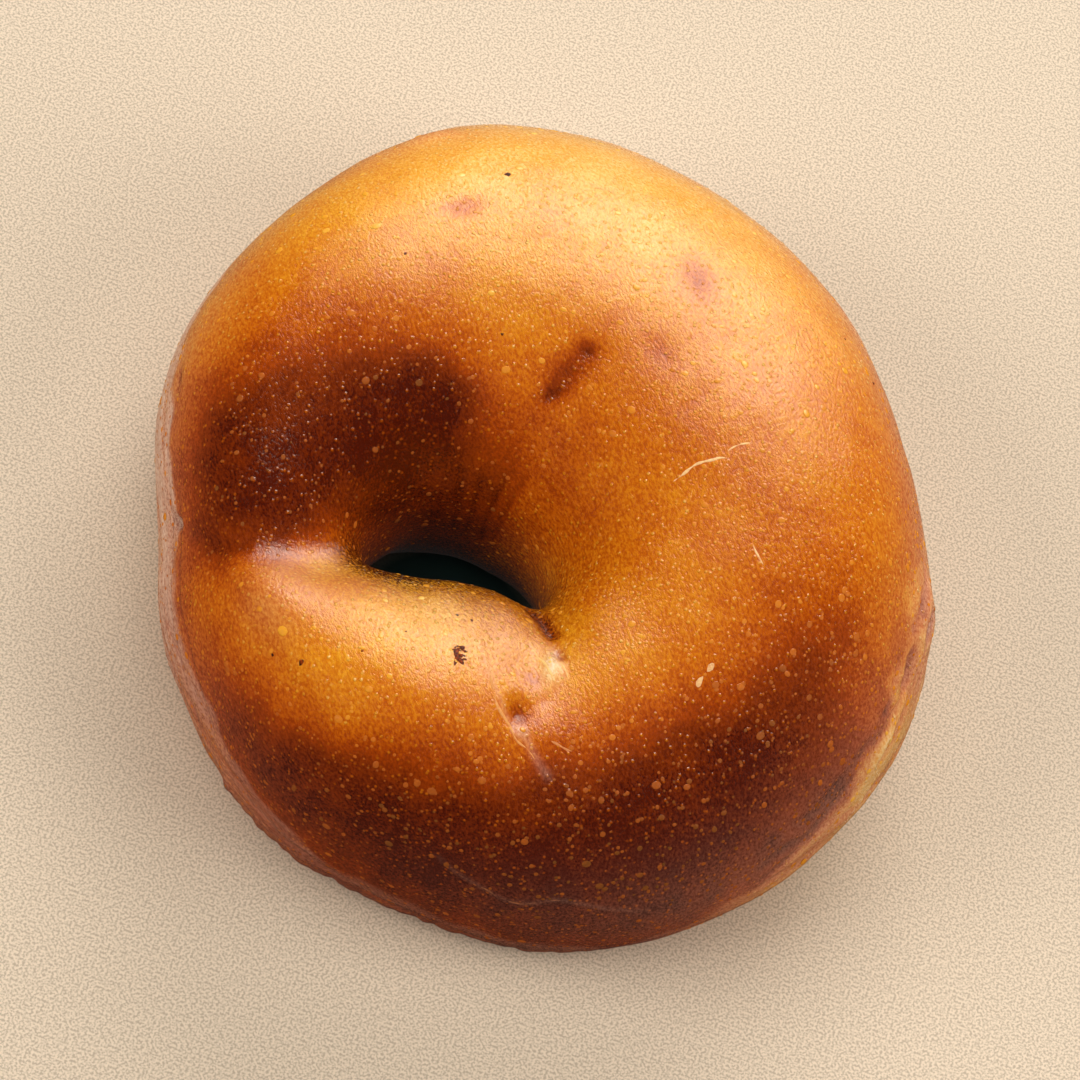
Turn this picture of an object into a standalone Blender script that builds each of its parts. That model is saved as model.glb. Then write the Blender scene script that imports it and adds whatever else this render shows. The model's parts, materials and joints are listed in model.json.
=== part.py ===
"""A plain bagel: one ring of dough, boiled, baked, and closed by hand round an off-centre hole.

Metres, +Z up. The bagel rests on its flat base at z = 0, with the middle of its outline over the
origin. Its thick side is +Y. Directions round the hole run anticlockwise from +X, seen from above.
"""
import math

import bmesh
import bpy
import numpy as np

MM = 0.001

# Driving dimensions, in millimetres.
HOLE_AXIS = (-9.4, -12.6)
# Stations at 16 even steps round the hole, from +X: the outer and the hole's reach from the axis,
# the crown's height, its place between the hole and the outer wall, and the base's inset.
STATIONS = (
    (64.7, 12.0, 42.0, 0.42, 7.0),
    (65.3, 10.0, 43.5, 0.47, 7.0),
    (67.0, 8.0, 43.5, 0.48, 7.0),
    (70.5, 6.5, 42.0, 0.46, 7.0),
    (71.5, 6.0, 41.5, 0.44, 7.0),
    (66.3, 6.0, 42.0, 0.48, 7.0),
    (56.4, 7.0, 41.5, 0.53, 6.5),
    (50.0, 8.5, 38.8, 0.54, 6.0),
    (42.4, 10.5, 36.0, 0.55, 5.0),
    (39.8, 12.5, 34.6, 0.57, 4.0),
    (39.6, 10.0, 36.0, 0.60, 3.5),
    (42.0, 6.5, 37.5, 0.61, 3.5),
    (45.0, 5.0, 39.0, 0.60, 4.5),
    (50.0, 4.6, 38.2, 0.54, 5.5),
    (56.3, 6.0, 37.5, 0.47, 6.5),
    (60.4, 10.5, 39.2, 0.42, 7.0),
)
OUTER_REACH, HOLE_REACH, CROWN_HEIGHT, CROWN_PLACE, BASE_INSET = zip(*STATIONS)

HOLE_INSET = 6.0                 # how far the base stands back from the hole's waist
BELLY_LEVEL = 0.42               # height of the outer wall's widest level, in crown heights
WAIST_LEVEL = 0.50               # height of the hole's narrowest level, in crown heights
ROUNDNESS = 2.05                 # power of a slice's outline: 2 is an ellipse, more is squarer

# Furrows in the crust: name, start and end in plan, depth and half width, in millimetres.
FURROWS = (
    ("fold", (-26.0, -26.0), (-37.0, -28.0), 2.6, 3.8),
    ("fold end", (-42.0, -27.0), (-52.0, -21.5), 1.6, 3.2),
    ("hole corner", (1.0, -17.0), (4.0, -23.0), 2.4, 2.2),
    ("seam", (5.5, -27.0), (6.5, -35.0), 1.2, 2.4),
)
FURROW_RISE = (0.15, 0.6)        # in crown heights: no furrow below the first, full depth above the second

# Mesh fineness. Each quad makes two triangles.
SLICES = 100                     # round the ring
WALL_STEPS = 9                   # along each quarter of a slice's outline
BASE_STEPS = 4                   # across the flat base

CRUST_COLOUR = (0.52, 0.20, 0.045, 1.0)
CRUST_ROUGHNESS = 0.42
SHARP_ANGLE = 40.0               # degrees; only the base's edges are sharper


def read_ring(stations, turn):
    """Read a smooth closed curve through even stations, at a turn in radians."""
    count = len(stations)
    waves = np.fft.rfft(stations) / count
    reading = waves[0].real
    for order in range(1, len(waves)):
        share = 1.0 if 2 * order == count else 2.0
        wave = waves[order]
        reading += share * (wave.real * math.cos(order * turn) - wave.imag * math.sin(order * turn))
    return reading


def smooth_step(low, high, value):
    """0 below low, 1 above high, and a soft rise between."""
    share = min(max((value - low) / (high - low), 0.0), 1.0)
    return share * share * (3.0 - 2.0 * share)


def curve_point(width, height, angle):
    """A point of a slice's quarter outline: level at angle 0, and at its top at a right angle."""
    power = 2.0 / ROUNDNESS
    return width * math.cos(angle) ** power, height * math.sin(angle) ** power


def upper_wall(width, height):
    """Points from the widest level up towards the crown, which is left out."""
    return [curve_point(width, height, math.pi / 2 * step / WALL_STEPS) for step in range(WALL_STEPS)]


def lower_wall(width, level, inset):
    """Points below the widest level, down to a base edge that stands back by inset."""
    edge_share = (width - inset) / width
    full_depth = level / (1.0 - edge_share ** ROUNDNESS) ** (1.0 / ROUNDNESS)
    edge_angle = math.asin((level / full_depth) ** (ROUNDNESS / 2.0))
    points = []
    for step in range(1, WALL_STEPS + 1):
        x, depth = curve_point(width, full_depth, edge_angle * step / WALL_STEPS)
        points.append((x, -depth))
    points[-1] = (points[-1][0], -level)
    return points


def slice_outline(turn):
    """An upright slice through the ring: its outline as (reach, height), and its middle."""
    outer = read_ring(OUTER_REACH, turn)
    inner = read_ring(HOLE_REACH, turn)
    height = read_ring(CROWN_HEIGHT, turn)
    crown = inner + (outer - inner) * read_ring(CROWN_PLACE, turn)
    belly = height * BELLY_LEVEL
    waist = height * WAIST_LEVEL
    out_width = outer - crown
    in_width = crown - inner

    outer_foot = lower_wall(out_width, belly, read_ring(BASE_INSET, turn))
    outline = [(crown + x, belly + z) for x, z in reversed(outer_foot)]
    outline += [(crown + x, belly + z) for x, z in upper_wall(out_width, height - belly)]
    outline.append((crown, height))
    outline += [(crown - x, waist + z) for x, z in reversed(upper_wall(in_width, height - waist))]
    outline += [(crown - x, waist + z) for x, z in lower_wall(in_width, waist, HOLE_INSET)]

    hole_edge = outline[-1][0]
    outer_edge = outline[0][0]
    for step in range(1, BASE_STEPS):
        outline.append((hole_edge + (outer_edge - hole_edge) * step / BASE_STEPS, 0.0))
    return outline, (crown, belly)


def furrow_depth(x, y, height_share):
    """How far the crust is pressed in over a spot in plan. The flat base keeps its shape."""
    pressed = 0.0
    for _name, start, end, depth, half_width in FURROWS:
        run_x = end[0] - start[0]
        run_y = end[1] - start[1]
        length = math.hypot(run_x, run_y)
        along = ((x - start[0]) * run_x + (y - start[1]) * run_y) / length
        across = ((x - start[0]) * run_y - (y - start[1]) * run_x) / length
        beyond = max(-along, along - length, 0.0)
        pressed += depth * math.exp(-(across ** 2 + beyond ** 2) / (2.0 * half_width ** 2))
    return pressed * smooth_step(*FURROW_RISE, height_share)


def slice_points(turn):
    """A slice's points in space, with the furrows pressed towards the slice's middle."""
    outline, (middle_reach, middle_height) = slice_outline(turn)
    crown_height = max(height for _reach, height in outline)
    points = []
    for reach, height in outline:
        x = HOLE_AXIS[0] + reach * math.cos(turn)
        y = HOLE_AXIS[1] + reach * math.sin(turn)
        pressed = furrow_depth(x, y, height / crown_height)
        off_reach = reach - middle_reach
        off_height = height - middle_height
        keep = 1.0 - pressed / math.hypot(off_reach, off_height)
        if pressed > 0.0:
            reach = middle_reach + off_reach * keep
            height = middle_height + off_height * keep
        x = HOLE_AXIS[0] + reach * math.cos(turn)
        y = HOLE_AXIS[1] + reach * math.sin(turn)
        points.append((x * MM, y * MM, height * MM))
    return points


def crust_material():
    """Baked crust: a warm brown with a soft shine."""
    material = bpy.data.materials.new("crust")
    material.use_nodes = True
    shader = material.node_tree.nodes["Principled BSDF"]
    shader.inputs["Base Color"].default_value = CRUST_COLOUR
    shader.inputs["Roughness"].default_value = CRUST_ROUGHNESS
    shader.inputs["Metallic"].default_value = 0.0
    return material


def build_bagel():
    """Skin the slices with quads, all the way round, as one closed ring."""
    form = bmesh.new()
    rings = []
    for index in range(SLICES):
        points = slice_points(2.0 * math.pi * index / SLICES)
        rings.append([form.verts.new(point) for point in points])

    per_slice = len(rings[0])
    for index, ring in enumerate(rings):
        following = rings[(index + 1) % SLICES]
        for spot in range(per_slice):
            after = (spot + 1) % per_slice
            form.faces.new((ring[spot], following[spot], following[after], ring[after]))
    bmesh.ops.recalc_face_normals(form, faces=form.faces)

    mesh = bpy.data.meshes.new("bagel")
    form.to_mesh(mesh)
    form.free()
    mesh.shade_smooth()
    mesh.set_sharp_from_angle(angle=math.radians(SHARP_ANGLE))
    mesh.materials.append(crust_material())

    bagel = bpy.data.objects.new("bagel", mesh)
    bpy.context.scene.collection.objects.link(bagel)


def main():
    for leftover in list(bpy.data.objects):
        bpy.data.objects.remove(leftover, do_unlink=True)
    build_bagel()


main()
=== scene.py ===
"""A plain baked bagel: glossy crust with blisters, folds and burnt flecks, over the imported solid.

Lengths here are in millimetres and turned into metres where an object is made. A place on the
crust is written as (turn, share): the turn round the hole in degrees, counted from +X towards
+Y, and the share of the way over the top, from the base edge in the hole (0) past the crown to
the outer base edge (1).
"""

import json
import math
import random

import bpy
import numpy as np
from bpy.props import FloatProperty, FloatVectorProperty, IntProperty, PointerProperty
from mathutils import Matrix, Vector, noise
from mathutils.bvhtree import BVHTree


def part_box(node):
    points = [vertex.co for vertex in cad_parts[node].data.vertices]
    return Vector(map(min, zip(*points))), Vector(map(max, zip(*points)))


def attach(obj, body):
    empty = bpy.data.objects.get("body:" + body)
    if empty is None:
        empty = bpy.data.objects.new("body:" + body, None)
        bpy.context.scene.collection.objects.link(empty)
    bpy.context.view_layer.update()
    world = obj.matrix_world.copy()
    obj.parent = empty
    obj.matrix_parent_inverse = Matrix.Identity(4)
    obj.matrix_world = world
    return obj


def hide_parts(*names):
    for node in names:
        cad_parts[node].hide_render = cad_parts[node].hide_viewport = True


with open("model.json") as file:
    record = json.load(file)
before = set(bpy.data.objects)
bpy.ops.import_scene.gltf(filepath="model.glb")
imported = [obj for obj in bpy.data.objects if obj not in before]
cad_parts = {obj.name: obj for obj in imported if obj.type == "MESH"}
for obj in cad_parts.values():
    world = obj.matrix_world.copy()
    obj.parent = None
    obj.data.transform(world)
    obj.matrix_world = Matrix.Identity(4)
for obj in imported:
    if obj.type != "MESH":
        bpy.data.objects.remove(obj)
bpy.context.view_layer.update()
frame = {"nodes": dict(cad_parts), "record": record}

bl_info = {
    "name": "Plain Bagel",
    "version": (1, 0, 0),
    "blender": (4, 5, 0),
    "location": "3D View > Sidebar > Bagel",
    "description": "Builds the crust, blisters, burnt flecks and stage of a plain baked bagel",
    "category": "Object",
}

NODE = "bagel"
BODY = "root"
MM = 0.001

# The crust's grid: lines that turn round the hole, closer on the folded side, and rows across.
TURN_LINES = 420
TOP_ROWS = 218
BASE_ROWS = 18
ROWS = TOP_ROWS + BASE_ROWS
RAYS = 300
DENSE_TURNS = (190.0, 325.0)
DENSE_EDGE = 15.0
DENSE_GAIN = 1.5
LINE_PASSES = 7
ROW_PASSES = 40
RELIEF_FADE = (0.3, 2.5)         # heights over which relief grows from nothing at the base

# Soft hills and hollows over the whole crust: length across one, and its height.
LUMPS = ((24.0, 0.55), (10.0, 0.22), (4.5, 0.07), (2.2, 0.03))

# Single hollows and swellings: name, turn, share, radius round the hole, radius over the crust,
# slant in degrees, depth (a swelling's is negative), and what it adds to baking, bloom and char.
HOLLOWS = (
    ("far dent", 79.0, 0.380, 2.4, 4.6, 8.0, 0.70, 0.32, 0.0, 0.06),
    ("far dent pit", 77.5, 0.412, 1.4, 1.1, -20.0, 0.35, 0.25, 0.0, 0.08),
    ("far dent pit", 80.5, 0.350, 1.0, 1.8, 30.0, 0.35, 0.22, 0.0, 0.10),
    ("back graze", 112.5, 0.560, 3.0, 1.8, 0.0, 0.35, 0.34, 0.0, 0.0),
    ("right graze", 68.3, 0.560, 4.0, 2.4, 30.0, 0.35, 0.34, 0.0, 0.0),
    ("inner graze", 128.6, 0.349, 4.0, 5.0, 0.0, 0.35, 0.22, 0.0, 0.12),
    ("crown graze", 61.6, 0.459, 3.0, 2.0, 0.0, 0.20, 0.20, 0.0, 0.0),
    ("back bump", 113.8, 0.715, 4.5, 2.4, 0.0, -0.60, 0.14, 0.0, 0.0),
    ("dimple", 296.7, 0.524, 1.6, 1.9, 0.0, 1.10, 0.30, 0.0, 0.10),
    # The swelling's bloom is a painted highlight.
    ("seam swelling", 308.6, 0.452, 1.6, 2.8, 12.0, -0.45, -0.20, 0.30, 0.0),
    ("seam hollow", 299.0, 0.450, 4.0, 3.0, 0.0, 0.35, 0.04, 0.0, 0.0),
    ("seam pit", 313.6, 0.424, 0.8, 1.0, 0.0, 0.40, 0.25, 0.0, 0.25),
    ("fold pit", 194.4, 0.738, 0.8, 2.0, 35.0, 1.10, 0.25, 0.0, 0.35),
    ("left slit", 168.8, 0.720, 1.6, 0.5, -20.0, 0.60, 0.20, 0.0, 0.45),
    ("right bump", 12.0, 0.762, 4.6, 3.6, 0.0, -1.20, 0.0, 0.10, 0.0),
    ("bump hollow", 10.7, 0.758, 1.7, 0.9, 0.0, 0.60, 0.40, 0.0, 0.05),
    ("side hollow", 2.7, 0.739, 2.3, 1.0, 12.0, 0.65, 0.45, 0.0, 0.08),
    ("side hollow", 5.6, 0.733, 0.9, 0.7, 0.0, 0.35, 0.35, 0.0, 0.0),
    ("seam flush", 303.1, 0.468, 1.3, 1.5, 0.0, 0.10, 0.24, 0.0, 0.0),
    # Painted highlights: the bloom on the seam gleam and on the dimple lip.
    ("seam gleam", 310.1, 0.436, 0.9, 2.0, 12.0, -0.20, -0.20, 0.60, 0.0),
    ("dimple lip", 296.1, 0.548, 0.8, 1.0, 0.0, -0.30, -0.10, 0.45, 0.0),
    ("base spur", 242.0, 0.925, 0.9, 1.4, 0.0, -0.55, 0.20, 0.0, 0.10),
    # The valley's darker colour is painted shade from the left slope.
    ("fold valley", 210.5, 0.50, 4.5, 4.5, 0.0, 0.45, 0.14, 0.0, 0.06),
    ("left shoulder", 228.0, 0.560, 5.0, 4.0, 0.0, -0.40, 0.0, 0.10, 0.0),
)

# Creases: name, places along the crease, half width, depth (a ridge's is negative), step from
# its left side down to its right side, and what it adds to baking, bloom and char.
CREASES = (
    ("fold", ((210.0, 0.55), (206.7, 0.60), (202.4, 0.65), (197.0, 0.71)),
     1.20, 0.40, 0.0, 0.10, 0.0, 0.0),
    ("side fold", ((198.0, 0.69), (204, 0.645), (210, 0.612), (219, 0.598), (228.6, 0.600),
                   (237.7, 0.612), (248.5, 0.622), (258.0, 0.635)), 1.5, 0.16, 0.40, 0.05, 0.0, 0.0),
    ("seam", ((317.9, 0.36), (314.9, 0.405), (312.6, 0.45), (306.0, 0.488), (298.5, 0.515)),
     0.90, 0.16, -0.12, 0.06, 0.0, 0.0),
    ("seam tail", ((296.5, 0.545), (298.2, 0.575), (301.0, 0.605)), 0.6, 0.08, -0.14, 0.0, 0.15, 0.0),
    ("skin edge", ((286.5, 0.42), (288.0, 0.455), (290.2, 0.49), (293.0, 0.53), (295.5, 0.56)),
     0.45, -0.04, -0.16, 0.0, 0.14, 0.0),
    ("side line", ((172.0, 0.728), (179.3, 0.740), (185.8, 0.748), (194.2, 0.765), (206.0, 0.768),
                   (217.0, 0.795), (226.0, 0.850), (233.5, 0.905)), 0.50, 0.22, 0.10, 0.10, 0.0, 0.08),
    ("side line", ((190.0, 0.711), (197.0, 0.722), (203.5, 0.725), (217.9, 0.743), (226.5, 0.784),
                   (235.1, 0.826)), 0.40, 0.16, 0.08, 0.08, 0.0, 0.05),
    ("side line", ((176.0, 0.775), (190.0, 0.795), (204.0, 0.812), (216.0, 0.845), (224.0, 0.890)),
     0.45, 0.14, 0.0, 0.06, 0.0, 0.05),
    ("edge hollow", ((12.5, 0.762), (10.7, 0.757), (9.0, 0.762), (8.0, 0.760)), 0.85, 0.55, 0.0, 0.24, 0.0, 0.0),
    ("edge hollow", ((9.4, 0.720), (8.0, 0.725), (6.7, 0.726)), 0.60, 0.42, 0.0, 0.20, 0.0, 0.0),
    ("edge hollow", ((5.4, 0.732), (4.0, 0.734), (2.7, 0.741), (1.3, 0.747), (0.0, 0.750)),
     1.00, 0.60, 0.0, 0.28, 0.0, 0.0),
    ("edge hollow", ((358.0, 0.729), (356.0, 0.727), (354.6, 0.729)), 0.50, 0.30, 0.0, 0.22, 0.0, 0.0),
    ("edge hollow", ((358.7, 0.748), (357.3, 0.741), (356.0, 0.739), (354.6, 0.745)),
     0.50, 0.30, 0.0, 0.25, 0.0, 0.0),
    ("edge hollow", ((354.6, 0.739), (352.0, 0.743), (350.6, 0.752), (347.9, 0.766), (345.3, 0.780)),
     0.60, 0.32, 0.0, 0.22, 0.0, 0.0),
    ("edge ridge", ((9.4, 0.738), (8.0, 0.742), (6.7, 0.750), (4.0, 0.757)), 0.60, -0.42, 0.0, -0.24, 0.08, 0.0),
    ("edge ridge", ((2.7, 0.718), (1.3, 0.721), (359.0, 0.722), (357.3, 0.735)), 0.50, -0.34, 0.0, -0.20, 0.10, 0.0),
    ("edge ridge", ((356.0, 0.752), (354.6, 0.757), (352.0, 0.762), (350.6, 0.772), (349.3, 0.784)),
     0.90, -0.38, 0.0, -0.18, 0.12, 0.0),
    ("edge ridge", ((349.3, 0.800), (347.0, 0.815), (344.0, 0.830)), 0.80, -0.30, 0.0, -0.10, 0.12, 0.0),
    ("front line", ((281.7, 0.739), (289.0, 0.765), (296.1, 0.779), (301.5, 0.763), (308.0, 0.772),
                    (314.4, 0.784)), 0.40, -0.08, 0.10, -0.08, 0.08, 0.0),
    ("thread", ((45.0, 0.43), (46.5, 0.46), (48.4, 0.490)), 0.45, 0.12, 0.0, 0.10, 0.0, 0.0),
    ("thread", ((83.0, 0.58), (85.0, 0.55), (86.5, 0.51), (88.4, 0.463)), 0.30, 0.10, 0.0, 0.10, 0.0, 0.0),
    # Painted shade: the end of the slit is darkened with char colour.
    ("hole end", ((322.0, 0.28), (321.0, 0.326), (319.1, 0.353), (317.9, 0.385)), 0.90, 0.65, 0.0, 0.30, 0.0, 0.45),
    ("hole pleat", ((80.4, 0.14), (81.7, 0.20), (81.7, 0.26)), 0.55, 0.14, 0.0, 0.10, 0.0, 0.0),
    ("hole pleat", ((99.4, 0.13), (101.8, 0.20), (101.8, 0.25)), 0.50, 0.12, 0.0, 0.08, 0.0, 0.0),
    ("hole pleat", ((117.0, 0.14), (119.2, 0.21), (120.5, 0.27)), 0.60, 0.16, 0.0, 0.10, 0.0, 0.0),
    ("hole pleat", ((64.0, 0.15), (66.0, 0.21), (67.0, 0.27)), 0.55, 0.12, 0.0, 0.08, 0.0, 0.0),
)

# Wrinkled strips: name, first and last turn, first and last share at each end, number of
# wrinkles, wobble in shares, half width, depth, and what each adds to baking and bloom.
WRINKLES = (
    ("right edge", (20.0, 330.0), (0.700, 0.790), (0.755, 0.880), 6, 0.020, 0.75, 0.45, 0.26, 0.0),
    ("left edge", (176.0, 236.0), (0.760, 0.830), (0.830, 0.930), 3, 0.008, 0.80, 0.20, 0.10, 0.0),
    ("front edge", (244.0, 318.0), (0.860, 0.880), (0.940, 0.950), 5, 0.012, 0.50, 0.14, 0.04, 0.0),
)

# Thin raised folds of skin: name, places along the fold, half width, height and how pale it is.
SKIN_FOLDS = (
    ("seam fold", ((287.6, 0.440), (288.5, 0.470), (290.2, 0.512), (292.9, 0.541), (295.5, 0.562), (298.8, 0.584)),
     0.30, 0.13, 0.35),
    ("seam fold", ((299.5, 0.545), (303.0, 0.556), (307.3, 0.565)), 0.24, 0.08, 0.25),
    # Painted highlights: the paleness of the two seam gleams.
    ("seam gleam", ((306.8, 0.418), (308.0, 0.440), (308.6, 0.462)), 0.34, 0.16, 0.60),
    ("seam gleam", ((311.5, 0.425), (312.3, 0.448), (311.8, 0.468)), 0.34, 0.16, 0.60),
    ("scratch", ((24.1, 0.399), (26.8, 0.417), (29.0, 0.436), (29.5, 0.455), (28.6, 0.472)), 0.30, 0.12, 1.00),
    ("scratch", ((30.0, 0.462), (31.8, 0.477), (32.3, 0.491), (31.8, 0.505)), 0.22, 0.10, 0.90),
    ("scratch", ((23.1, 0.424), (17.4, 0.417), (8.0, 0.408)), 0.13, 0.06, 0.60),
    ("scratch", ((10.7, 0.482), (6.7, 0.491), (4.0, 0.505)), 0.19, 0.09, 0.80),
    ("nail mark", ((335.6, 0.531), (337.2, 0.523), (339.6, 0.517), (341.6, 0.517)), 0.60, 0.12, 0.75),
    ("nail mark", ((332.6, 0.538), (334.4, 0.533), (336.6, 0.528)), 0.16, 0.06, 0.45),
    ("front fold", ((281.7, 0.739), (289.0, 0.765), (296.1, 0.779), (301.5, 0.763), (308.0, 0.772)),
     0.22, 0.08, 0.14),
)
FOLD_STEP = 0.45                 # the way from one cut across a fold to the next
FOLD_CUT = ((-1.0, -0.25), (-0.62, 0.62), (0.0, 1.0), (0.62, 0.62), (1.0, -0.25))   # share of width and of height

BASE_WAVES = ((230.0, 318.0), 3.0, 0.55)     # turns, length and height of the ragged outer base edge

# How far each part of the crust is baked, from 0, straw, to 1, chestnut; some zones below add painted shade to it.
BAKED = 0.46
DARK_START, DARK_ROOM = 0.82, 0.18      # beyond the first, baking slows and gains at most the second
# Zones that differ: name, turn, share, reach in degrees, reach in shares, and change.
ZONES = (
    # Painted shade: the hole's far wall is darkened as if baked.
    ("hole's far wall", 108.0, 0.21, 90.0, 0.15, 0.42),
    # Partly browning, partly painted shade on a slope turned from the light.
    ("left slope", 178.0, 0.42, 32.0, 0.18, 0.48),
    ("left side", 194.0, 0.58, 19.0, 0.13, 0.42),
    # Partly browning, partly painted shade on a slope turned from the light.
    ("inner left", 142.0, 0.36, 28.0, 0.09, 0.36),
    ("near crown", 262.0, 0.43, 46.0, 0.12, -0.18),
    # Partly browning, partly painted shade on the near side, turned from the light.
    ("front", 289.0, 0.735, 64.0, 0.125, 0.64),
    ("left shoulder", 244.0, 0.615, 20.0, 0.06, -0.14),
    ("fold end", 218.0, 0.46, 9.0, 0.08, -0.22),
    ("right edge", 3.0, 0.67, 14.0, 0.06, -0.16),
    # The two zones below are partly browning, partly painted shade on the near side, turned from the light.
    ("front right", 328.0, 0.61, 28.0, 0.10, 0.40),
    ("front foot", 285.0, 0.92, 62.0, 0.10, 0.26),
    ("back", 96.0, 0.66, 44.0, 0.19, -0.30),
    ("right", 0.0, 0.60, 20.0, 0.10, 0.16),
)
# Zones tinted pale or dark: name, turn, share, reaches, bloom and char.
TINTED_ZONES = (
    # Partly dry skin, partly a painted reflection of the bright ground behind the rim.
    ("back rim", 88.0, 0.82, 88.0, 0.10, 0.95, 0.0),
    # Painted shade: the three zones below colour the hole's walls nearly black with char colour.
    ("hole depth", 100.0, 0.02, 200.0, 0.14, 0.0, 0.75),
    ("hole's near wall", 268.0, 0.25, 66.0, 0.11, 0.0, 0.95),
    ("hole's left end", 226.0, 0.35, 24.0, 0.06, 0.0, 1.00),
)
# The side under the browned skin: turn, share where it starts, and what it adds to bloom and baking. On the left its
# bloom is partly pale dry skin and partly a painted reflection of the floor.
FOOT = (
    (0.0, 0.712, 0.04, -0.28), (12.0, 0.706, 0.05, -0.20), (25.0, 0.760, 0.10, -0.10),
    (60.0, 0.800, 0.12, -0.04), (110.0, 0.800, 0.15, -0.04), (140.0, 0.760, 0.30, 0.0),
    (165.0, 0.738, 0.52, 0.0), (185.0, 0.728, 0.55, 0.0), (205.0, 0.745, 0.46, 0.0),
    (235.0, 0.800, 0.24, 0.0), (270.0, 0.870, 0.14, 0.0), (310.0, 0.880, 0.16, 0.0),
    (335.0, 0.800, 0.14, -0.26), (348.0, 0.752, 0.12, -0.42),
)
FOOT_SOFTNESS = 0.010
FOOT_WOBBLE = 0.022
UNDERSIDE_BAKED = 0.30

BLISTER_SEED = 11
FLECK_SEED = 5

# Mottle in the baking: length across one patch, and its change.
BAKING_MOTTLE = ((16.0, 0.09), (5.0, 0.05))

# How crowded the blisters are: everywhere, and round some places (turn, share, reaches, gain).
BLISTER_CROWD = (0.30, ((5.0, 0.62, 45.0, 0.16, 0.5), (310.0, 0.66, 50.0, 0.16, 0.5)))
DOME_SIDES = 8
# Blisters that stand out: turn, share and radius.
KNOWN_BLISTERS = (
    (235.6, 0.585, 0.62), (319.1, 0.615, 0.55), (323.7, 0.628, 0.42), (325.2, 0.651, 0.36),
    (49.6, 0.528, 0.50), (46.9, 0.532, 0.40), (54.9, 0.477, 0.36), (57.6, 0.592, 0.45),
    (57.6, 0.573, 0.40), (53.6, 0.463, 0.40), (45.5, 0.651, 0.36), (21.4, 0.523, 0.34),
    (317.9, 0.642, 0.34), (312.2, 0.615, 0.30), (88.4, 0.381, 0.42), (107.1, 0.445, 0.40),
)

# Burnt flecks: turn, share and radius; then a cluster's turn, share and reach, and its bits.
FLECKS = (
    (104.5, 0.606, 0.42), (125.9, 0.523, 0.30), (103.1, 0.399, 0.22), (127.2, 0.220, 0.22),
    (180.5, 0.353, 0.20), (69.6, 0.202, 0.20), (277.9, 0.358, 0.20), (276.3, 0.404, 0.22),
    (283.3, 0.404, 0.28), (260.8, 0.472, 0.18), (253.8, 0.532, 0.24), (244.2, 0.596, 0.36),
    (237.7, 0.619, 0.24), (42.9, 0.706, 0.26), (49.6, 0.688, 0.18),
)
BURNT_CLUSTER = (279.5, 0.472, 1.20)
BURNT_BITS = 34
FLECK_SIDES = 9

GLOSS_TINT = (1.0, 0.93, 0.80, 1.0)
BLISTER_PALENESS = 0.08
GRAIN_TURN = math.radians(-127.0)
CRUST_MAP_TOP = 0.90

# The stage: lengths in millimetres, and lights' places and sizes in metres.
CAMERA_ELEVATION = 60.0
CAMERA_ROLL = 20.0
CAMERA_DISTANCE = 600.0
CAMERA_VIEW_WIDTH = 145.95
CAMERA_AIM = (0.0, -3.6, -3.9)
FLOOR_SIZE = 3000.0
# Painted shade: the floor's colour is darkened round the hole's axis.
SHADE_REACH = (12.0, 24.0)      # the floor is in full shade to the first way off the hole, in none past the second
WORLD_TINT = (1.0, 0.92, 0.88, 1.0)
WORLD_STRENGTH = 0.02
# Lights: name, place, width, height, power, tint and whether gloss shows them.
LIGHTS = (
    ("Overhead", (0.0, -0.20, 1.10), 1.00, 1.00, 5.2, (1.0, 0.97, 0.93), False),
    ("Key", (0.02, 0.86, 0.56), 0.70, 0.54, 7.2, (1.0, 0.98, 0.96), True),
    ("Low back", (0.0, 0.80, 0.10), 1.00, 0.16, 5.5, (1.0, 0.97, 0.94), False),
    ("Left fill", (-0.74, -0.38, 0.55), 0.60, 0.60, 7.6, (1.0, 0.96, 0.92), False),
    ("Right fill", (0.80, -0.05, 0.58), 0.60, 0.60, 6.4, (1.0, 0.96, 0.92), False),
)


def soft_step(value, start, end):
    """0 at start, 1 at end, level beyond both, and a smooth change between."""
    share = np.clip((value - start) / (end - start), 0.0, 1.0)
    return share * share * (3.0 - 2.0 * share)


def angle_gap(turns, turn):
    """How far turns are from one turn, in degrees from -180 to 180."""
    return (turns - turn + 180.0) % 360.0 - 180.0


# ---------------------------------------------------------------- the crust's bare grid


def hole_axis():
    """Where the upright axis through the hole stands, from the record's opening."""
    low, high = frame["record"]["physics"]["openings"][0]["box_m"]
    return np.array([(low[0] + high[0]) / 2, (low[1] + high[1]) / 2]) / MM


def packed_tree():
    """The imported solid's surface, in millimetres."""
    mesh = frame["nodes"][NODE].data
    corners = [vertex.co / MM for vertex in mesh.vertices]
    return BVHTree.FromPolygons(corners, [tuple(face.vertices) for face in mesh.polygons])


def line_turns():
    """The turn of each line of the grid, in degrees."""
    fine = np.linspace(0.0, 360.0, 3601)
    start, end = DENSE_TURNS
    rising = soft_step(fine, start - DENSE_EDGE, start + DENSE_EDGE)
    falling = soft_step(fine, end + DENSE_EDGE, end - DENSE_EDGE)
    weight = 1.0 + DENSE_GAIN * rising * falling
    total = np.concatenate(([0.0], np.cumsum((weight[1:] + weight[:-1]) / 2)))
    wanted = np.arange(TURN_LINES) / TURN_LINES * total[-1]
    return np.interp(wanted, total, fine)


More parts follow.
